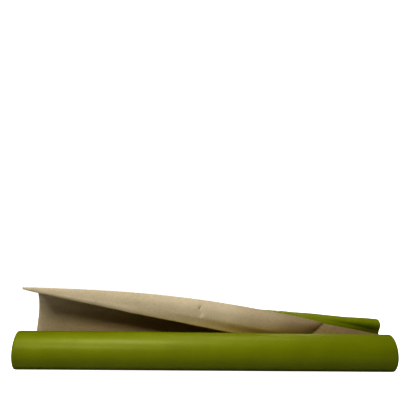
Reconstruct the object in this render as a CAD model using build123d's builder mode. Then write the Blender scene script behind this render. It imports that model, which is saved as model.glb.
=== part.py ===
from build123d import *
import math
import os

# One roll of coloured backdrop paper lying on its side, with its last length drawn off underneath.
# The drawn length lies flat behind the roll, bends up into a standing wall, curls over towards the
# front and has its end turned back outwards as a flap, so that the natural side shows.
# Millimetres. X runs along the roll, Y points away from the front, Z is up.
# The origin is on the roll's axis, half way along it.
os.makedirs("parts", exist_ok=True)

# --- driving dimensions ------------------------------------------------------------------------
PAPER_WIDTH = 700.0  # across the web, so also the roll's length
ROLL_RADIUS = 34.0  # over the outermost turn
PAPER = 0.2  # thickness of the paper

CORE_BORE_RADIUS = 20.8  # clear hole for a crossbar
CORE_PLIES = ("core_inner_liner", "core_body_ply_1", "core_body_ply_2", "core_outer_ply")
CORE_PLY = 0.83  # thickness of one wound board ply
GLUE_LINE = 0.02  # between neighbouring plies, and under the first turn of paper

TAPE_THICK = 0.16  # tape that holds the start of the web on the core
TAPE_LENGTH = 620.0  # along the roll
TAPE_SPAN_DEG = 55.0  # around the core
TAPE_POCKET_GAP = 0.02  # clear of the tape on every side

TURN_CLEARANCE = 0.05  # radial gap under the outer turn
TURN_OPENING = 8.0  # width left open where the outer turn runs into the sheet on the floor
OPENING_CUT = 4.0  # height of the cut that opens it, more than the turn's wall needs

FRONT_LIP = 3.5  # flat sheet in front of the roll's lowest line
FLOOR_RUN = 74.0  # flat sheet behind the roll's lowest line
HEEL_RADIUS = 37.0  # bend from the floor up into the standing wall, to the paper's mid surface
HINGE_DIR = 76.0  # direction of the heel bend where the standing part flexes, in degrees
HINGE_HALF_GAP = 0.5  # half the gap in the sheet at the flexing line, in degrees of the bend

SHEET_LENGTH = 351.0  # from the roll's lowest line to the free edge, measured along the paper
FOLD_RADIUS = 4.0  # bend where the end is turned back outwards

# Laws of the loose end: value at the left end, at mid width and at the right end.
# Directions are degrees in the Y-Z plane: 0 points back, 90 up, 180 to the front, 270 down.
HEEL_DIR = (77.0, 91.0, 93.0)  # direction leaving the heel bend
WALL_RISE = (52.0, 54.0, 19.0)  # straight standing wall
CROWN_RADIUS = (47.0, 20.0, 34.0)  # bend over the top
CROWN_DIR = (175.0, 195.0, 250.0)  # direction leaving the crown
DROP_DIR = (176.0, 231.0, 301.0)  # direction at the foot of the front drop
FLAP_FOOT_DIR = (135.0, 107.0, 122.0)  # direction of the flap at its fold
FLAP_EDGE_DIR = (48.0, 65.0, 59.0)  # direction of the flap at the free edge
FLAP_WIDTH = (3.0, 51.0, 46.0)  # fold to free edge

STATIONS = 9  # cross-sections of the loose end across its width
WALL_BEND = 1  # place of the straight wall among the bends

# --- values that follow ------------------------------------------------------------------------
half_width = PAPER_WIDTH / 2
floor_level = -ROLL_RADIUS
mid_level = floor_level + PAPER / 2
ply_pitch = CORE_PLY + GLUE_LINE
web_inner = CORE_BORE_RADIUS + len(CORE_PLIES) * ply_pitch
turn_inner = ROLL_RADIUS - PAPER
web_outer = turn_inner - TURN_CLEARANCE
heel_centre = (FLOOR_RUN, mid_level + HEEL_RADIUS)


# --- helpers -----------------------------------------------------------------------------------
def across(x):
    """A drawing plane square to the roll at x: sketch X is the part's Y, sketch Y is the part's Z."""
    return Plane(origin=(x, 0, 0), x_dir=(0, 1, 0), z_dir=(1, 0, 0))


def on_heel(radius, direction):
    """The point at this radius of the heel bend where the sheet runs in this direction."""
    angle = math.radians(direction)
    return (
        heel_centre[0] + radius * math.sin(angle),
        heel_centre[1] - radius * math.cos(angle),
    )


def polar(radius, degrees):
    """The sketch point at this radius and angle about the roll's axis."""
    return (radius * math.cos(math.radians(degrees)), radius * math.sin(math.radians(degrees)))


def law(values, u):
    """Smooth value at u, 0 at the left end and 1 at the right, through the three stated ones."""
    left, middle, right = values
    return left * (1 - u) * (1 - 2 * u) + 4 * middle * u * (1 - u) + right * u * (2 * u - 1)


def bends(u):
    """The loose end's cross-section at u: the length and the turn in degrees of each bend in order."""
    start_dir = HINGE_DIR + HINGE_HALF_GAP
    heel_dir = law(HEEL_DIR, u)
    crown_dir = law(CROWN_DIR, u)
    drop_dir = law(DROP_DIR, u)
    flap_foot = law(FLAP_FOOT_DIR, u)
    flap_edge = law(FLAP_EDGE_DIR, u)
    flap = law(FLAP_WIDTH, u)
    wall = law(WALL_RISE, u)
    whole_heel = HEEL_RADIUS * math.radians(heel_dir)
    heel = HEEL_RADIUS * math.radians(heel_dir - start_dir)
    crown = law(CROWN_RADIUS, u) * math.radians(crown_dir - heel_dir)
    fold = min(FOLD_RADIUS, flap / 2) * math.radians(drop_dir - flap_foot)
    drop = SHEET_LENGTH - FLOOR_RUN - whole_heel - wall - crown - fold - flap
    return [
        (heel, heel_dir - start_dir),
        (wall, 0.0),
        (crown, crown_dir - heel_dir),
        (drop, drop_dir - crown_dir),
        (fold, flap_foot - drop_dir),
        (flap, flap_edge - flap_foot),
    ]


def chord(length, turn):
    """Straight distance between the ends of an arc of this length and turn in radians."""
    if turn == 0:
        return length
    return length * math.sin(turn / 2) / (turn / 2)


def section_side(u, side):
    """Start, middle and end of each bend at u, offset by side towards the sheet's inner face."""
    direction = math.radians(HINGE_DIR + HINGE_HALF_GAP)
    y, z = on_heel(HEEL_RADIUS, HINGE_DIR + HINGE_HALF_GAP)
    arcs = []
    for length, turn_degrees in bends(u):
        turn = math.radians(turn_degrees)
        arc = []
        for share in (0.0, 0.5, 1.0):
            reach = chord(length * share, turn * share)
            heading = direction + turn * share / 2
            facing = direction + turn * share
            arc.append(
                (
                    y + reach * math.cos(heading) - side * math.sin(facing),
                    z + reach * math.sin(heading) + side * math.cos(facing),
                )
            )
        arcs.append(arc)
        whole = chord(length, turn)
        y += whole * math.cos(direction + turn / 2)
        z += whole * math.sin(direction + turn / 2)
        direction += turn
    return arcs


# --- the cardboard core: plies of board wound one over the other -------------------------------
for place, ply_name in enumerate(CORE_PLIES):
    ply_inner = CORE_BORE_RADIUS + place * ply_pitch
    with BuildPart() as core_ply:
        with BuildSketch(across(-half_width)):
            Circle(ply_inner + CORE_PLY)
            Circle(ply_inner, mode=Mode.SUBTRACT)
        extrude(amount=PAPER_WIDTH)
    core_ply.part.label = ply_name
    export_step(core_ply.part, f"parts/{ply_name}.step")

# --- the tape laid along the core under the first turn -----------------------------------------
tape_inner = web_inner + TAPE_POCKET_GAP
tape_outer = tape_inner + TAPE_THICK
tape_from = 90 - TAPE_SPAN_DEG / 2
tape_to = 90 + TAPE_SPAN_DEG / 2
with BuildPart() as web_start_tape:
    with BuildSketch(across(-TAPE_LENGTH / 2)):
        with BuildLine():
            CenterArc((0, 0), tape_outer, tape_from, TAPE_SPAN_DEG)
            CenterArc((0, 0), tape_inner, tape_from, TAPE_SPAN_DEG)
            Line(polar(tape_inner, tape_from), polar(tape_outer, tape_from))
            Line(polar(tape_inner, tape_to), polar(tape_outer, tape_to))
        make_face()
    extrude(amount=TAPE_LENGTH)
web_start_tape.part.label = "web_start_tape"
export_step(web_start_tape.part, "parts/web_start_tape.step")

# --- the wound web, with the pocket its first turn leaves over the tape ------------------------
pocket_outer = tape_outer + TAPE_POCKET_GAP
pocket_margin = math.degrees(TAPE_POCKET_GAP / tape_inner)
pocket_from = tape_from - pocket_margin
pocket_to = tape_to + pocket_margin
with BuildPart() as wound_web:
    with BuildSketch(across(-half_width)):
        Circle(web_outer)
        Circle(web_inner, mode=Mode.SUBTRACT)
    extrude(amount=PAPER_WIDTH)
    with BuildSketch(across(-TAPE_LENGTH / 2 - TAPE_POCKET_GAP)):
        with BuildLine():
            CenterArc((0, 0), pocket_outer, pocket_from, pocket_to - pocket_from)
            Line(polar(pocket_outer, pocket_to), polar(CORE_BORE_RADIUS, pocket_to))
            Line(polar(CORE_BORE_RADIUS, pocket_to), polar(CORE_BORE_RADIUS, pocket_from))
            Line(polar(CORE_BORE_RADIUS, pocket_from), polar(pocket_outer, pocket_from))
        make_face()
    extrude(amount=TAPE_LENGTH + 2 * TAPE_POCKET_GAP, mode=Mode.SUBTRACT)
wound_web.part.label = "wound_web"
export_step(wound_web.part, "parts/wound_web.step")

# --- the last turn, open along its foot where it runs into the sheet on the floor --------------
with BuildPart() as outer_turn:
    with BuildSketch(across(-half_width)):
        Circle(ROLL_RADIUS)
        Circle(turn_inner, mode=Mode.SUBTRACT)
        with Locations((0, -ROLL_RADIUS)):
            Rectangle(TURN_OPENING, OPENING_CUT, mode=Mode.SUBTRACT)
    extrude(amount=PAPER_WIDTH)
outer_turn.part.label = "outer_turn"
export_step(outer_turn.part, "parts/outer_turn.step")

# --- the drawn sheet on the floor, with most of the bend that lifts it -------------------------
lying_end = HINGE_DIR - HINGE_HALF_GAP
heel_inside = HEEL_RADIUS - PAPER / 2
heel_outside = HEEL_RADIUS + PAPER / 2
with BuildPart() as lying_sheet:
    with BuildSketch(across(-half_width)):
        with BuildLine():
            Line((-FRONT_LIP, floor_level), (FLOOR_RUN, floor_level))
            CenterArc(heel_centre, heel_outside, -90, lying_end)
            Line(on_heel(heel_outside, lying_end), on_heel(heel_inside, lying_end))
            CenterArc(heel_centre, heel_inside, -90, lying_end)
            Line((FLOOR_RUN, floor_level + PAPER), (-FRONT_LIP, floor_level + PAPER))
            Line((-FRONT_LIP, floor_level + PAPER), (-FRONT_LIP, floor_level))
        make_face()
    extrude(amount=PAPER_WIDTH)
lying_sheet.part.label = "lying_sheet"
export_step(lying_sheet.part, "parts/lying_sheet.step")

# --- the standing wall, the curl over the top and the turned-back flap -------------------------
with BuildPart() as loose_end:
    for station in range(STATIONS):
        u = station / (STATIONS - 1)
        outer_side = section_side(u, -PAPER / 2)
        inner_side = section_side(u, PAPER / 2)
        with BuildSketch(across(-half_width + u * PAPER_WIDTH)):
            with BuildLine():
                for outer_arc, inner_arc in zip(outer_side, inner_side):
                    if outer_arc is outer_side[WALL_BEND]:
                        Line(outer_arc[0], outer_arc[2])
                        Line(inner_arc[0], inner_arc[2])
                    else:
                        ThreePointArc(*outer_arc)
                        ThreePointArc(*inner_arc)
                Line(outer_side[0][0], inner_side[0][0])
                Line(outer_side[-1][2], inner_side[-1][2])
            make_face()
    loft()
loose_end.part.label = "loose_end"
export_step(loose_end.part, "parts/loose_end.step")
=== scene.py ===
import math

import bpy
import numpy as np
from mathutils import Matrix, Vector


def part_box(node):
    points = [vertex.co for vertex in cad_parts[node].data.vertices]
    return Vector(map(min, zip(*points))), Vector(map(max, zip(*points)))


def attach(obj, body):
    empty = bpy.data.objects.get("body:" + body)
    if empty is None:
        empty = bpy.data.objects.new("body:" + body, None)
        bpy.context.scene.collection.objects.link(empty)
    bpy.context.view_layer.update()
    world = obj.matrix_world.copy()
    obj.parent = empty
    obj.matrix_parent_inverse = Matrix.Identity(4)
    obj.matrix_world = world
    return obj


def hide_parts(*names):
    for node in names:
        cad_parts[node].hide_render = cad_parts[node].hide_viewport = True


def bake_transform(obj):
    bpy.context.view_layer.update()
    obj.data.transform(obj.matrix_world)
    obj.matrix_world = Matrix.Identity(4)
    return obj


# A roll of coloured backdrop paper lying on its side, with its last length drawn off underneath.
# Lengths are in millimetres until a mesh is made. X runs along the roll, Y points away from the
# front, Z is up, and the origin is on the roll's axis, half way along it, as in the CAD part.
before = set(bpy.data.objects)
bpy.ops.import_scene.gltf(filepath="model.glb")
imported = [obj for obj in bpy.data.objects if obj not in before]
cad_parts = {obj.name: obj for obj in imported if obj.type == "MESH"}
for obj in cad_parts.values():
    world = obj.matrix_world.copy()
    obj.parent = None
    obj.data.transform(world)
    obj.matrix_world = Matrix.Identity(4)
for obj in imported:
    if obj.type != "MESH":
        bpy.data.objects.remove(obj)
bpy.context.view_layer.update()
rng = np.random.default_rng(883)

# --- sizes from the frame, as meshed: a round piece can read a little under its true radius --
MM = 0.001
turn_low, turn_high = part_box("outer_turn")
WIDTH = (turn_high.x - turn_low.x) / MM
ROLL_R = turn_high.z / MM
CORE_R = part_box("core_outer_ply")[1].z / MM
HALF = WIDTH / 2

# --- sizes and laws shared with the CAD part; three values are left end, middle, right end ---
PAPER = 0.2
CORE_BORE_R = 20.8
PLY = 0.83
GLUE = 0.02  # between neighbouring plies, and under the first turn of paper
TURN_GAP = 0.05  # under the last turn
FLOOR_RUN = 74.0
HEEL_R = 37.0
SHEET_LENGTH = 351.0
FOLD_R = 4.0
TURN_OPENING = 8.0
HEEL_DIR = (77.0, 91.0, 93.0)
WALL_RISE = (52.0, 54.0, 19.0)
CROWN_R = (47.0, 20.0, 34.0)
CROWN_DIR = (175.0, 195.0, 250.0)
DROP_DIR = (176.0, 231.0, 301.0)
FLAP_FOOT_DIR = (135.0, 107.0, 122.0)
FLAP_EDGE_DIR = (48.0, 65.0, 59.0)
FLAP_WIDTH = (3.0, 51.0, 46.0)
MID_LEVEL = -ROLL_R + PAPER / 2
TURN_R = ROLL_R - PAPER / 2

# --- the sheet's mesh and the marks on it --------------------------------------------------
DENT_X = -14.0
DENT_DOWN = 22.0  # below the free edge, along the flap
TIP_TRIM = 5.0  # how far the flap's left corner is cut back
TRIM_REACH = 14.0  # how far along the edge the cut fades out
CREASE_X = 236.0  # where the crease starts at the free edge
CREASE_LEAN = 0.95  # how far it runs to the left for each unit down the flap
SOFT_MARKS = 14
COLUMNS = 340
ROWS = (12, 30, 16, 44, 40, 24, 64)  # mesh rows in the floor run and in each bend after it
FLAP_ROW = sum(ROWS[:-1])
FOLD_ROW = FLAP_ROW - ROWS[-2]
SPLIT_ROW = 9  # mesh row in the floor run where the lying piece ends and the bending one starts

# --- the last turn, the turns under it and the core ----------------------------------------
TURN_STEPS = 260
TURN_STATIONS = 301
TIED_ANGLE = 0.8  # at both ends of the turn, where the roll holds it in place
SLACK, SLACK_WAVE, SLACK_LIMIT = 0.16, 0.15, 0.5
TURN_WEAR, TURN_WEAR_LENGTH = 0.5, 3.0  # at the ends of the last turn
TURNS_AROUND = 144
TURNS_BACK = 0.4  # how far the turns stay back from the ends of the roll
TURNS_WANDER, WANDER_LIMIT = 0.05, 0.35
TURNS_WEAR, TURNS_WEAR_DEPTH = 1.3, 1.6  # rounding of the outermost turns' ends
POCKET_HALF, POCKET_SLOPE, POCKET_DEPTH = 311.0, 1.0, 0.25  # room for the tape on the core
SEAM_PITCH = 118.0
SEAM_DEGREES = (-1.6, -0.9, 0.0, 0.9, 1.6)
SEAM_NOTCH = (0.12, 0.30, 0.12)
SEAM_STEP = 1.9  # angle between one ply's seam and the next one's
PLY_STEPS = 84
PLY_STATIONS = 141
PLY_BACK, PLY_BACK_SPREAD, PLY_RAGGED = 0.3, 0.35, 0.12  # uneven cut ends of the core

# --- studio --------------------------------------------------------------------------------
BACKDROP_GLOW = 0.72
AMBIENT = 0.03
FLOOR_BOUNCE = 0.46  # how pale the floor is to the light that comes back off it
FLOOR_SIDE = 6000.0
FLOOR_DROP = 0.2  # floor's level under the roll's lowest line
REACH = 1.3  # metres from the object to each light
AIM = Vector((0.0, 0.03, 0.02))
LIGHTS = (  # name, bearing, elevation, width, height, power
    ("key_softbox", -25, 60, 0.42, 0.42, 9.1),
    ("left_softbox", -50, 46, 0.35, 0.30, 0.8),
    ("low_front_softbox", -22, 26, 0.42, 0.20, 4.6),
    ("left_rear_softbox", -50, 100, 0.50, 0.50, 3.2),
    ("left_side_softbox", -80, 14, 0.30, 0.30, 0.5),
    ("right_side_softbox", 105, 18, 0.40, 0.40, 1.6),
    ("rear_softbox", 170, 38, 0.60, 0.40, 3.0),
)
CAMERA_LENS = 41.22
CAMERA_PLACE = (-0.0678, -0.8956, 0.1584)
CAMERA_DEGREES = (97.79, -1.107, -3.444)


def bell(t):
    return np.exp(-np.square(t))


def peak(t, at, spread):
    """A bell of height 1."""
    return bell((t - at) / spread)


def smooth(t):
    t = np.clip(t, 0, 1)
    return t * t * (3 - 2 * t)


def rise(t, start, over):
    """0 up to start, then smoothly up to 1."""
    return smooth((t - start) / over)


def fall(t, end, over):
    """Smoothly down from 1, to 0 from end on."""
    return smooth((end - t) / over)


def law(values, u):
    """Smooth value at u, 0 at the left end and 1 at the right, through the three stated ones."""
    left, middle, right = values
    return left * (1 - u) * (1 - 2 * u) + 4 * middle * u * (1 - u) + right * u * (2 * u - 1)


def bends(u):
    """Length and turn in degrees of the floor run and of each bend up to the free edge, at u."""
    heel_dir, crown_dir = law(HEEL_DIR, u), law(CROWN_DIR, u)
    drop_dir, foot, edge = law(DROP_DIR, u), law(FLAP_FOOT_DIR, u), law(FLAP_EDGE_DIR, u)
    flap, wall = law(FLAP_WIDTH, u), law(WALL_RISE, u)
    heel = HEEL_R * math.radians(heel_dir)
    crown = law(CROWN_R, u) * math.radians(crown_dir - heel_dir)
    fold = min(FOLD_R, flap / 2) * math.radians(drop_dir - foot)
    drop = SHEET_LENGTH - FLOOR_RUN - heel - wall - crown - fold - flap
    return [(FLOOR_RUN, 0.0), (heel, heel_dir), (wall, 0.0), (crown, crown_dir - heel_dir),
            (drop, drop_dir - crown_dir), (fold, foot - drop_dir), (flap, edge - foot)]


def section(u):
    """Y, Z, direction and arc length of the paper's mid line at u, from the roll's lowest line."""
    y, z, direction, run = 0.0, MID_LEVEL, 0.0, 0.0
    points = [(y, z, direction, run)]
    for (length, turn), rows in zip(bends(u), ROWS):
        step = length / rows
        half_turn = math.radians(turn) / rows / 2
        chord = step * np.sinc(half_turn / math.pi)
        for _ in range(rows):
            direction += half_turn
            y += chord * math.cos(direction)
            z += chord * math.sin(direction)
            direction += half_turn
            run += step
            points.append((y, z, direction, run))
    return np.array(points).T


def column_shares():
    """Column places across the width from 0 to 1, closer together at the dent and the crease."""
    fine = np.linspace(0, 1, 4001)
    x = (fine - 0.5) * WIDTH
    at_dent = 2.6 * peak(x, at=DENT_X, spread=14)
    at_crease = 1.4 * peak(x, at=CREASE_X - 20, spread=34)
    density = 1 + at_dent + at_crease
    total = np.concatenate([[0], np.cumsum((density[1:] + density[:-1]) / 2)])
    return np.interp(np.linspace(0, 1, COLUMNS), total / total[-1], fine)


def ripples(a, b, count, shortest, longest, lean):
    """Slow waves over the plane of a and b, as a sum of sines, mostly between -1 and 1."""
    total = np.zeros(np.broadcast(a, b).shape)
    for _ in range(count):
        length = rng.uniform(shortest, longest)
        angle = rng.uniform(-lean, lean)
        phase = rng.uniform(0, 2 * math.pi)
        place = a * math.cos(angle) + b * math.sin(angle)
        total += np.sin(2 * math.pi * place / length + phase)
    return total / math.sqrt(2 * count)


# --- mesh helpers --------------------------------------------------------------------------
def make_object(name, verts, faces, materials, face_materials=None, smooth_shading=True):
    """An object from points in millimetres."""
    mesh = bpy.data.meshes.new(name)
    mesh.from_pydata((np.asarray(verts, float) * MM).tolist(), [], faces)
    for m in materials:
        mesh.materials.append(m)
    if face_materials is not None:
        mesh.polygons.foreach_set("material_index", np.asarray(face_materials, np.int32))
    mesh.polygons.foreach_set("use_smooth", np.full(len(mesh.polygons), smooth_shading))
    mesh.update()
    obj = bpy.data.objects.new(name, mesh)
    bpy.context.scene.collection.objects.link(obj)
    return obj


def grid_normals(points):
    """Unit normals of a grid of points (rows, columns, 3), on the sheet's natural side."""
    normal = np.cross(np.gradient(points, axis=1), np.gradient(points, axis=0))
    return normal / np.linalg.norm(normal, axis=-1, keepdims=True)


def two_sided_sheet(name, mid, normal, front_material, back_material):
    """A closed sheet of paper about a grid of mid points (rows, columns, 3), with cut edges."""
    rows, cols = mid.shape[:2]
    front = (mid + normal * PAPER / 2).reshape(-1, 3)
    back = (mid - normal * PAPER / 2).reshape(-1, 3)
    index = np.arange(rows * cols).reshape(rows, cols)
    under = index + rows * cols
    corners = [index[:-1, :-1], index[:-1, 1:], index[1:, 1:], index[1:, :-1]]
    quads = np.stack(corners, -1).reshape(-1, 4)
    faces = quads.tolist() + (quads[:, ::-1] + rows * cols).tolist()
    kinds = [0] * len(quads) + [1] * len(quads)
    rim, rim_under = (np.concatenate([g[0, :-1], g[:-1, -1], g[-1, :0:-1], g[:0:-1, 0]])
                      for g in (index, under))
    walls = np.stack([rim_under, np.roll(rim_under, -1), np.roll(rim, -1), rim], -1)
    faces += walls.tolist()
    kinds += [2] * len(walls)
    materials = [front_material, back_material, CUT]
    return make_object(name, np.concatenate([front, back]), faces, materials, kinds,
                       smooth_shading=np.array(kinds) < 2)


def ring_solid(name, x, r, angles, material, smooth_shading=True):
    """A closed ring about the X axis. x and r hold the profile loop (points, angles)."""
    y, z = r * np.cos(angles), r * np.sin(angles)
    points, around = x.shape
    here = np.arange(points * around).reshape(points, around)
    along = np.roll(here, -1, 0)
    corners = [here, along, np.roll(along, -1, 1), np.roll(here, -1, 1)]
    faces = np.stack(corners, -1).reshape(-1, 4)
    return make_object(name, np.stack([x, y, z], -1).reshape(-1, 3), faces.tolist(), [material],
                       smooth_shading=smooth_shading)


# --- material helpers ----------------------------------------------------------------------
def node_material(name):
    m = bpy.data.materials.new(name)
    m.use_nodes = True
    tree = m.node_tree
    tree.nodes.clear()
    out = tree.nodes.new("ShaderNodeOutputMaterial")
    shader = tree.nodes.new("ShaderNodeBsdfPrincipled")
    tree.links.new(shader.outputs[0], out.inputs[0])
    return m, tree, shader


def coords(tree, scale=(1, 1, 1)):
    place = tree.nodes.new("ShaderNodeTexCoord")
    mapping = tree.nodes.new("ShaderNodeMapping")
    mapping.inputs["Scale"].default_value = scale
    tree.links.new(place.outputs["Object"], mapping.inputs["Vector"])
    return mapping.outputs[0]


def noise(tree, vector, scale, detail=3.0, rough=0.6):
    n = tree.nodes.new("ShaderNodeTexNoise")
    n.inputs["Scale"].default_value = scale
    n.inputs["Detail"].default_value = detail
    n.inputs["Roughness"].default_value = rough
    tree.links.new(vector, n.inputs["Vector"])
    return n.outputs["Fac"]


def ramp(tree, fac, stops):
    r = tree.nodes.new("ShaderNodeValToRGB")
    while len(r.color_ramp.elements) < len(stops):
        r.color_ramp.elements.new(0.5)
    for e, (at, colour) in zip(r.color_ramp.elements, stops):
        e.position = at
        e.color = (*colour, 1)
    tree.links.new(fac, r.inputs[0])
    return r.outputs[0]


def grey(value):
    return (value, value, value)


def mix(tree, fac, a, b, blend="MIX"):
    m = tree.nodes.new("ShaderNodeMix")
    m.data_type = "RGBA"
    m.blend_type = blend
    for socket, value in ((m.inputs[0], fac), (m.inputs[6], a), (m.inputs[7], b)):
        if isinstance(value, tuple):
            socket.default_value = (*value, 1)
        elif isinstance(value, float):
            socket.default_value = value
        else:
            tree.links.new(value, socket)
    return m.outputs[2]


def map_range(tree, value, low, high):
    m = tree.nodes.new("ShaderNodeMapRange")
    m.inputs["To Min"].default_value = low
    m.inputs["To Max"].default_value = high
    tree.links.new(value, m.inputs["Value"])
    return m.outputs[0]


def maths(tree, operation, a, b):
    m = tree.nodes.new("ShaderNodeMath")
    m.operation = operation
    for socket, value in zip(m.inputs, (a, b)):
        if isinstance(value, float):
            socket.default_value = value
        else:
            tree.links.new(value, socket)
    return m.outputs[0]


def bump(tree, shader, height, strength, distance):
    b = tree.nodes.new("ShaderNodeBump")
    b.inputs["Strength"].default_value = strength
    b.inputs["Distance"].default_value = distance
    tree.links.new(height, b.inputs["Height"])
    tree.links.new(b.outputs[0], shader.inputs["Normal"])


def crevice(tree, reach):
    """1 in the open, towards 0 where the surface is closed in within this reach in metres."""
    ao = tree.nodes.new("ShaderNodeAmbientOcclusion")
    ao.samples = 8
    ao.inputs["Distance"].default_value = reach
    return ao.outputs["AO"]


# --- materials -----------------------------------------------------------------------------
def coloured_face():
    """The printed side: an even satin olive green with slow tone changes and a fine tooth."""
    m, tree, shader = node_material("coloured_face")
    plain = coords(tree)
    slow = noise(tree, plain, scale=22.0)
    fleck = noise(tree, plain, scale=420.0, rough=0.55)
    tooth = noise(tree, plain, scale=1900.0)
    colour = ramp(tree, slow, [(0.30, (0.156, 0.178, 0.0003)), (0.52, (0.167, 0.191, 0.0005)),
                               (0.74, (0.179, 0.205, 0.0008))])
    flecks = ramp(tree, fleck, [(0.35, grey(0.93)), (0.65, grey(1.0))])
    colour = mix(tree, 0.8, colour, flecks, "MULTIPLY")
    tree.links.new(colour, shader.inputs["Base Color"])
    tree.links.new(map_range(tree, fleck, 0.35, 0.47), shader.inputs["Roughness"])
    shader.inputs["Specular IOR Level"].default_value = 0.27
    shader.inputs["Specular Tint"].default_value = (1.0, 1.0, 0.6, 1)
    bump(tree, shader, tooth, strength=0.10, distance=0.0001)
    return m


def right_end_painted_shade(tree, plain):
    """Painted shade: the kraft is made a deeper brown towards the right end, standing in for the
    shade that falls on the right part of the flap.
    """
    place = tree.nodes.new("ShaderNodeSeparateXYZ")
    tree.links.new(plain, place.inputs[0])
    across = maths(tree, "DIVIDE", place.outputs["X"], HALF * MM)
    return ramp(tree, across, [(0.10, grey(1.0)), (0.45, (0.60, 0.55, 0.46)),
                               (0.80, (0.43, 0.36, 0.26))])


def kraft_face():
    """The natural side: mottled buff kraft with fibres along the web, with painted shade where
    closed in: a warmer, more saturated colour there.
    """
    m, tree, shader = node_material("kraft_face")
    plain = coords(tree)
    slow = noise(tree, plain, scale=16.0)
    blotch = noise(tree, plain, scale=260.0, detail=4.0)
    fibres = noise(tree, coords(tree, (1, 0.22, 0.22)), scale=1100.0, detail=5.0, rough=0.7)
    specks = noise(tree, plain, scale=2400.0, detail=2.0, rough=0.5)
    open_colour = ramp(tree, slow, [(0.30, (0.46, 0.383, 0.258)), (0.52, (0.485, 0.407, 0.278)),
                                    (0.74, (0.51, 0.430, 0.298))])
    # Painted shade and bounce light: where the surface is closed in, a warmer, more saturated
    # kraft colour takes over.
    painted_shade_colour = ramp(tree, slow, [(0.30, (0.70, 0.475, 0.125)), (0.70, (0.75, 0.515, 0.145))])
    openness = map_range(tree, crevice(tree, reach=0.10), -0.12, 1.28)
    colour = mix(tree, openness, painted_shade_colour, open_colour)
    blotches = ramp(tree, blotch, [(0.32, (0.86, 0.87, 0.84)), (0.50, grey(0.97)),
                                   (0.68, (1.0, 0.99, 0.98))])
    colour = mix(tree, 1.0, colour, blotches, "MULTIPLY")
    # Painted shade: darker, browner kraft towards the right end.
    colour = mix(tree, 1.0, colour, right_end_painted_shade(tree, plain), "MULTIPLY")
    threads = ramp(tree, fibres, [(0.46, grey(0.0)), (0.74, grey(0.30))])
    colour = mix(tree, threads, colour, (0.55, 0.47, 0.34))
    dots = ramp(tree, specks, [(0.30, grey(0.72)), (0.42, grey(1.0))])
    colour = mix(tree, 0.7, colour, dots, "MULTIPLY")
    tree.links.new(colour, shader.inputs["Base Color"])
    tree.links.new(map_range(tree, fibres, 0.72, 0.92), shader.inputs["Roughness"])
    shader.inputs["Specular IOR Level"].default_value = 0.25
    bump(tree, shader, maths(tree, "ADD", fibres, blotch), strength=0.22, distance=0.0003)
    return m


def cut_edge():
    """Cut paper edges seen end on: pale fibre with thin darker, greener lines between turns."""
    m, tree, shader = node_material("cut_edge")
    length = tree.nodes.new("ShaderNodeVectorMath")
    length.operation = "LENGTH"
    tree.links.new(coords(tree, (0, 1, 1)), length.inputs[0])
    line = tree.nodes.new("ShaderNodeTexNoise")
    line.noise_dimensions = "1D"
    line.inputs["Scale"].default_value = 3400.0
    line.inputs["Detail"].default_value = 2.0
    tree.links.new(length.outputs["Value"], line.inputs["W"])
    fuzz = noise(tree, coords(tree), scale=1500.0)
    colour = ramp(tree, line.outputs["Fac"], [(0.34, (0.20, 0.215, 0.035)),
                                              (0.46, (0.46, 0.375, 0.185)),
                                              (0.66, (0.68, 0.55, 0.33))])
    shade = ramp(tree, fuzz, [(0.35, grey(0.82)), (0.6, grey(1.0))])
    colour = mix(tree, 0.8, colour, shade, "MULTIPLY")
    tree.links.new(colour, shader.inputs["Base Color"])
    tree.links.new(map_range(tree, fuzz, 0.8, 0.95), shader.inputs["Roughness"])
    shader.inputs["Specular IOR Level"].default_value = 0.2
    bump(tree, shader, fuzz, strength=0.2, distance=0.0002)
    return m


def core_board():
    """Grey-brown recycled board with coarse fibres and dark specks."""
    m, tree, shader = node_material("core_board")
    plain = coords(tree)
    slow = noise(tree, plain, scale=30.0)
    fibres = noise(tree, coords(tree, (0.3, 1, 1)), scale=700.0, detail=5.0, rough=0.7)
    specks = noise(tree, plain, scale=1300.0, detail=2.0)
    colour = ramp(tree, slow, [(0.30, (0.30, 0.215, 0.125)), (0.55, (0.36, 0.265, 0.160)),
                               (0.75, (0.41, 0.310, 0.195))])
    threads = ramp(tree, fibres, [(0.45, grey(0.0)), (0.75, grey(0.5))])
    colour = mix(tree, threads, colour, (0.50, 0.40, 0.27))
    dots = ramp(tree, specks, [(0.30, grey(0.55)), (0.42, grey(1.0))])
    colour = mix(tree, 0.8, colour, dots, "MULTIPLY")
    tree.links.new(colour, shader.inputs["Base Color"])
    tree.links.new(map_range(tree, fibres, 0.75, 0.95), shader.inputs["Roughness"])
    shader.inputs["Specular IOR Level"].default_value = 0.2
    bump(tree, shader, fibres, strength=0.3, distance=0.0003)
    return m


def paper_tape():
    """Tan paper tape with a slight gloss."""
    m, tree, shader = node_material("paper_tape")
    plain = coords(tree)
    slow = noise(tree, plain, scale=60.0)
    fine = noise(tree, plain, scale=1600.0)
    colour = ramp(tree, slow, [(0.3, (0.50, 0.37, 0.19)), (0.7, (0.60, 0.46, 0.26))])
    shade = ramp(tree, fine, [(0.35, grey(0.85)), (0.6, grey(1.0))])
    colour = mix(tree, 0.7, colour, shade, "MULTIPLY")
    tree.links.new(colour, shader.inputs["Base Color"])
    tree.links.new(map_range(tree, fine, 0.32, 0.48), shader.inputs["Roughness"])
    bump(tree, shader, fine, strength=0.1, distance=0.0001)
    return m


GREEN = coloured_face()
KRAFT = kraft_face()
CUT = cut_edge()
BOARD = core_board()
TAPE = paper_tape()


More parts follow.
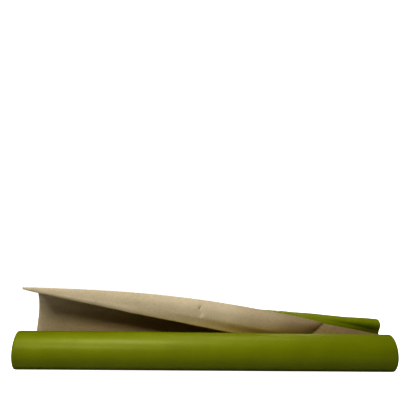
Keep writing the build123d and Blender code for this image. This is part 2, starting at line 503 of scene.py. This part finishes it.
# --- the drawn sheet: floor run, standing wall, curl and turned-back flap --------------------
def crescent_dent(x, down):
    """A thumb-sized dent in the flap with a sharp curved line at its upper left."""
    across, along = x - DENT_X, down - DENT_DOWN
    bowl = 1.5 * bell(np.hypot(across / 6.0, along / 11.0))
    line_across, line_along = across - 4.0, along + 1.0
    line_radius, line_fade, line_depth = 7.0, 1.4, 1.7
    radius = np.hypot(line_across, line_along * 0.8)
    bearing = np.arctan2(-line_along, line_across)
    window = peak(bearing, at=math.radians(150), spread=0.95)
    line = line_depth * np.exp(-np.abs(radius - line_radius) / line_fade) * window
    spot = 0.8 * bell(np.hypot((across - 2.0) / 3.0, (along - 12.0) / 4.0))
    return -bowl - line + spot


def handling_crease(x, down):
    """A buckle that runs down and to the left from the free edge, steep on its left side."""
    off = (x - (CREASE_X - CREASE_LEAN * down)) / math.hypot(1, CREASE_LEAN)
    left_reach = 5.0 + 0.55 * np.clip(down, 0.0, 60.0)
    right_reach = 55.0
    depth = 6.0 + 6.5 * rise(down, start=0.0, over=24.0)
    left_side = np.exp(np.minimum(off, 0) / left_reach)
    right_side = np.exp(-np.maximum(off, 0) / right_reach)
    valley = -depth * np.where(off < 0, left_side, right_side)
    swell = 1.4 * peak(off, at=-52.0, spread=22.0)
    return (valley + swell) * fall(down, end=56.0, over=24.0)


def flap_bow(x, down, width):
    """How far the flap bows out between its edges: flatter at the left, fuller at the right."""
    across = x / HALF
    fuller = 7.0 * rise(across, start=-0.45, over=0.85) * fall(across, end=1.02, over=0.25)
    flatter = 0.07 * width * fall(across, end=-0.10, over=0.55)
    return (fuller - flatter) * np.sin(math.pi * np.clip(down / width, 0, 1))


def flap_ridge(x, down):
    """A soft ridge along the flap, a little below its free edge."""
    across = x / HALF
    ends = rise(across, start=-0.75, over=0.4) * fall(across, end=0.7, over=0.3)
    return 1.3 * peak(down, at=13.0, spread=11.0) * ends


def soft_marks(x, down):
    """Faint short ridges left by handling."""
    total = np.zeros(x.shape)
    for _ in range(SOFT_MARKS):
        place, depth = rng.uniform(-0.42, 0.40) * WIDTH, rng.uniform(4.0, 40.0)
        angle, length = rng.uniform(-0.5, 0.5), rng.uniform(9.0, 22.0)
        height, width = rng.uniform(-0.22, 0.22), rng.uniform(2.0, 4.0)
        along = (x - place) * math.cos(angle) + (down - depth) * math.sin(angle)
        off = (down - depth) * math.cos(angle) - (x - place) * math.sin(angle)
        total += height * bell(along / length) * bell(off / width)
    return total


def sheet_relief(x, run, down, flap_width, on_flap):
    """How far the paper stands off its smooth shape, towards its natural side."""
    loose = rise(run, start=FLOOR_RUN + 66.0, over=60.0)
    slow = 0.42 * ripples(x, run, count=5, shortest=80.0, longest=190.0, lean=0.6)
    quick = 0.16 * ripples(x, run, count=5, shortest=34.0, longest=60.0, lean=0.9)
    marks = crescent_dent(x, down) + handling_crease(x, down) + soft_marks(x, down)
    marks += flap_bow(x, down, flap_width) + flap_ridge(x, down)
    return loose * (slow + quick) + on_flap * marks


def sharp_brow(x, degrees, rows):
    """Shift in Y and Z that draws the right end into a sharp brow and tucks in the drop below."""
    share = rise(x / HALF, start=0.50, over=0.50) * fall(rows, end=FOLD_ROW, over=12.0)
    forward = 10.5 * peak(degrees, at=223.0, spread=17.0)
    tucked = 11.0 * peak(degrees, at=264.0, spread=18.0)
    lift = 5.5 * peak(degrees, at=214.0, spread=15.0)
    lift -= 3.0 * peak(degrees, at=172.0, spread=15.0)
    return share * (tucked - forward), share * lift


def drawn_sheet():
    shares = column_shares()
    y, z, direction, run = np.stack([section(u) for u in shares], -1)
    x = np.broadcast_to((shares - 0.5) * WIDTH, y.shape)
    down = run[-1] - run
    rows = np.arange(len(y))[:, None]
    on_flap = rise(rows, start=FLAP_ROW, over=0.35 * ROWS[-1])
    off_shape = np.stack([np.zeros(y.shape), -np.sin(direction), np.cos(direction)], -1)
    relief = sheet_relief(x, run, down, law(FLAP_WIDTH, shares), on_flap)
    trim_share = rise(run, start=190.0, over=100.0) * np.exp(-(x + HALF) / TRIM_REACH)
    back, lift = sharp_brow(x, np.degrees(direction), rows)
    mid = np.stack([x + TIP_TRIM * trim_share, y + back, z + lift], -1)
    mid += off_shape * relief[..., None]
    normal = grid_normals(mid)
    upto, onwards = slice(0, SPLIT_ROW + 1), slice(SPLIT_ROW, None)
    lying = two_sided_sheet("lying_paper", mid[upto], normal[upto], KRAFT, GREEN)
    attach(lying, "drawn_sheet")
    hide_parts("lying_sheet")
    standing = two_sided_sheet("standing_paper", mid[onwards], normal[onwards], KRAFT, GREEN)
    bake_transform(standing)
    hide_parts("loose_end")


def last_turn():
    """The roll's outermost turn, slightly uneven, running into the drawn sheet at its foot."""
    opening = math.asin(TURN_OPENING / 2 / ROLL_R)
    angles = np.linspace(opening - math.pi / 2, 1.5 * math.pi, TURN_STEPS)[:, None]
    x = np.linspace(-HALF, HALF, TURN_STATIONS)[None, :]
    tied = rise(angles, start=angles[0], over=TIED_ANGLE)
    tied = tied * fall(angles, end=angles[-1], over=TIED_ANGLE)
    waves = ripples(x, angles * ROLL_R, count=6, shortest=70.0, longest=210.0, lean=1.3)
    slack = np.clip(SLACK + SLACK_WAVE * waves, 0.0, SLACK_LIMIT)
    worn = TURN_WEAR * rise(np.abs(x), start=HALF - TURN_WEAR_LENGTH, over=TURN_WEAR_LENGTH)
    r = TURN_R + tied * (slack - worn)
    mid = np.stack([x + 0 * r, r * np.cos(angles), r * np.sin(angles)], -1)
    inward = np.stack([0 * r, -np.cos(angles) + 0 * r, -np.sin(angles) + 0 * r], -1)
    turn = two_sided_sheet("last_turn", mid, inward, KRAFT, GREEN)
    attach(turn, "drawn_sheet")
    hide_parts("outer_turn")


# --- the wound roll: turns of paper on a spiral-wound core -----------------------------------
def wound_turns():
    """The turns under the last one, each with its own sideways wander, over the tape pocket."""
    inner, outer = CORE_R + GLUE, ROLL_R - PAPER - TURN_GAP
    layers = round((outer - inner) / PAPER)
    angles = np.linspace(0, 2 * math.pi, TURNS_AROUND, endpoint=False)
    edges = np.linspace(inner, outer, layers + 1)
    radii = np.stack([edges[:-1], edges[1:]], -1).ravel()
    drift = np.cumsum(rng.normal(0, TURNS_WANDER, layers))
    drift = drift - drift.mean() + rng.normal(0, TURNS_WANDER, layers)
    swing = rng.uniform(0, TURNS_WANDER, layers)
    phase = rng.uniform(0, 2 * math.pi, layers)
    wander = drift[:, None] + swing[:, None] * np.sin(angles + phase[:, None])
    wander = np.repeat(np.clip(wander, -WANDER_LIMIT, WANDER_LIMIT), 2, axis=0)
    near_outside = np.clip((radii - outer + TURNS_WEAR_DEPTH) / TURNS_WEAR_DEPTH, 0, 1)
    worn = TURNS_WEAR * np.square(near_outside)[:, None]
    right = HALF - TURNS_BACK + wander - worn
    left = -HALF + TURNS_BACK + wander + worn
    pocket_end, roof = POCKET_HALF + POCKET_SLOPE, inner + POCKET_DEPTH
    bore_x = np.array([-pocket_end, -POCKET_HALF, POCKET_HALF, pocket_end])
    bore_r = np.array([inner, roof, roof, inner])
    x = np.concatenate([np.repeat(bore_x[:, None], TURNS_AROUND, 1), right, left[::-1]])
    r = np.concatenate([bore_r, radii, radii[::-1]])[:, None] + 0 * x
    web = ring_solid("wound_turns", x, r, angles, CUT, smooth_shading=False)
    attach(web, "wound_roll")
    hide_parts("wound_web")


def core_ply(node, place):
    """One board ply: a strip wound as a helix, so that its edges meet in a slanting seam."""
    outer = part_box(node)[1].z / MM
    inner = CORE_BORE_R + place * (PLY + GLUE)
    seam = np.radians(SEAM_DEGREES)
    rest = np.linspace(seam[-1], 2 * math.pi + seam[0], PLY_STEPS)[1:-1]
    angles = np.concatenate([seam, rest])
    notch = np.zeros(len(angles))
    notch[1:4] = SEAM_NOTCH
    length = HALF - PLY_BACK - rng.uniform(0, PLY_BACK_SPREAD)
    stations = np.linspace(-1, 1, PLY_STATIONS)[:, None] * length
    twist = 2 * math.pi * stations / SEAM_PITCH + place * SEAM_STEP
    x = np.concatenate([stations, stations[::-1]]) + np.zeros(len(angles))
    r = np.concatenate([inner + notch + 0 * stations, outer - notch + 0 * stations])
    ends = np.abs(x) > HALF - 1.0
    x = x - np.sign(x) * ends * rng.uniform(0, PLY_RAGGED, len(angles))
    turned = angles + np.concatenate([twist, twist[::-1]])
    sleeve = ring_solid(node + "_sleeve", x, r, turned, BOARD)
    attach(sleeve, "wound_roll")
    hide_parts(node)


drawn_sheet()
last_turn()
wound_turns()
PLIES = ("core_inner_liner", "core_body_ply_1", "core_body_ply_2", "core_outer_ply")
for place, node in enumerate(PLIES):
    core_ply(node, place)

tape_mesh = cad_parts["web_start_tape"].data
tape_mesh.materials.clear()
tape_mesh.materials.append(TAPE)


# --- floor, light and camera ---------------------------------------------------------------
def seen_only(tree, strength):
    """This strength for the camera's own rays and 0 for all others, so that it lights nothing."""
    path = tree.nodes.new("ShaderNodeLightPath")
    return maths(tree, "MULTIPLY", path.outputs["Is Camera Ray"], strength)


def pale_floor():
    m, tree, shader = node_material("floor_paper")
    tone = noise(tree, coords(tree), scale=3.0, detail=2.0)
    seen = ramp(tree, tone, [(0.3, grey(0.80)), (0.7, grey(0.83))])
    path = tree.nodes.new("ShaderNodeLightPath")
    colour = mix(tree, path.outputs["Is Camera Ray"], grey(FLOOR_BOUNCE), seen)
    tree.links.new(colour, shader.inputs["Base Color"])
    shader.inputs["Roughness"].default_value = 0.9
    shader.inputs["Specular IOR Level"].default_value = 0.1
    glow = tree.nodes.new("ShaderNodeEmission")
    tree.links.new(seen_only(tree, BACKDROP_GLOW), glow.inputs["Strength"])
    total = tree.nodes.new("ShaderNodeAddShader")
    tree.links.new(shader.outputs[0], total.inputs[0])
    tree.links.new(glow.outputs[0], total.inputs[1])
    out = next(n for n in tree.nodes if n.type == "OUTPUT_MATERIAL")
    tree.links.new(total.outputs[0], out.inputs[0])
    side, level = FLOOR_SIDE, -ROLL_R - FLOOR_DROP
    corners = [(-side, -side, level), (side, -side, level),
               (side, side, level), (-side, side, level)]
    floor = make_object("studio_floor", corners, [(0, 1, 2, 3)], [m], smooth_shading=False)


def studio_world():
    world = bpy.data.worlds.new("studio")
    world.use_nodes = True
    tree = world.node_tree
    background = tree.nodes["Background"]
    background.inputs["Color"].default_value = (1, 1, 1, 1)
    strength = maths(tree, "ADD", seen_only(tree, BACKDROP_GLOW), AMBIENT)
    tree.links.new(strength, background.inputs["Strength"])
    bpy.context.scene.world = world


def softbox(name, bearing, elevation, width, height, power):
    """A soft light at this bearing from the front, towards the left if negative, and elevation."""
    turn, climb = math.radians(bearing), math.radians(elevation)
    level = math.cos(climb)
    away = Vector((math.sin(turn) * level, -math.cos(turn) * level, math.sin(climb)))
    data = bpy.data.lights.new(name, "AREA")
    data.shape = "RECTANGLE"
    data.size, data.size_y = width, height
    data.energy = power
    light = bpy.data.objects.new(name, data)
    bpy.context.scene.collection.objects.link(light)
    light.location = AIM + away * REACH
    light.rotation_euler = (-away).to_track_quat("-Z", "Y").to_euler()


pale_floor()
studio_world()
for light_values in LIGHTS:
    softbox(*light_values)

camera_data = bpy.data.cameras.new("camera")
camera_data.lens = CAMERA_LENS
camera_data.sensor_width = 36
camera = bpy.data.objects.new("camera", camera_data)
bpy.context.scene.collection.objects.link(camera)
camera.location = CAMERA_PLACE
camera.rotation_euler = [math.radians(angle) for angle in CAMERA_DEGREES]
bpy.context.scene.camera = camera
bpy.context.scene.view_settings.view_transform = "Standard"
bpy.context.scene.view_settings.look = "High Contrast"
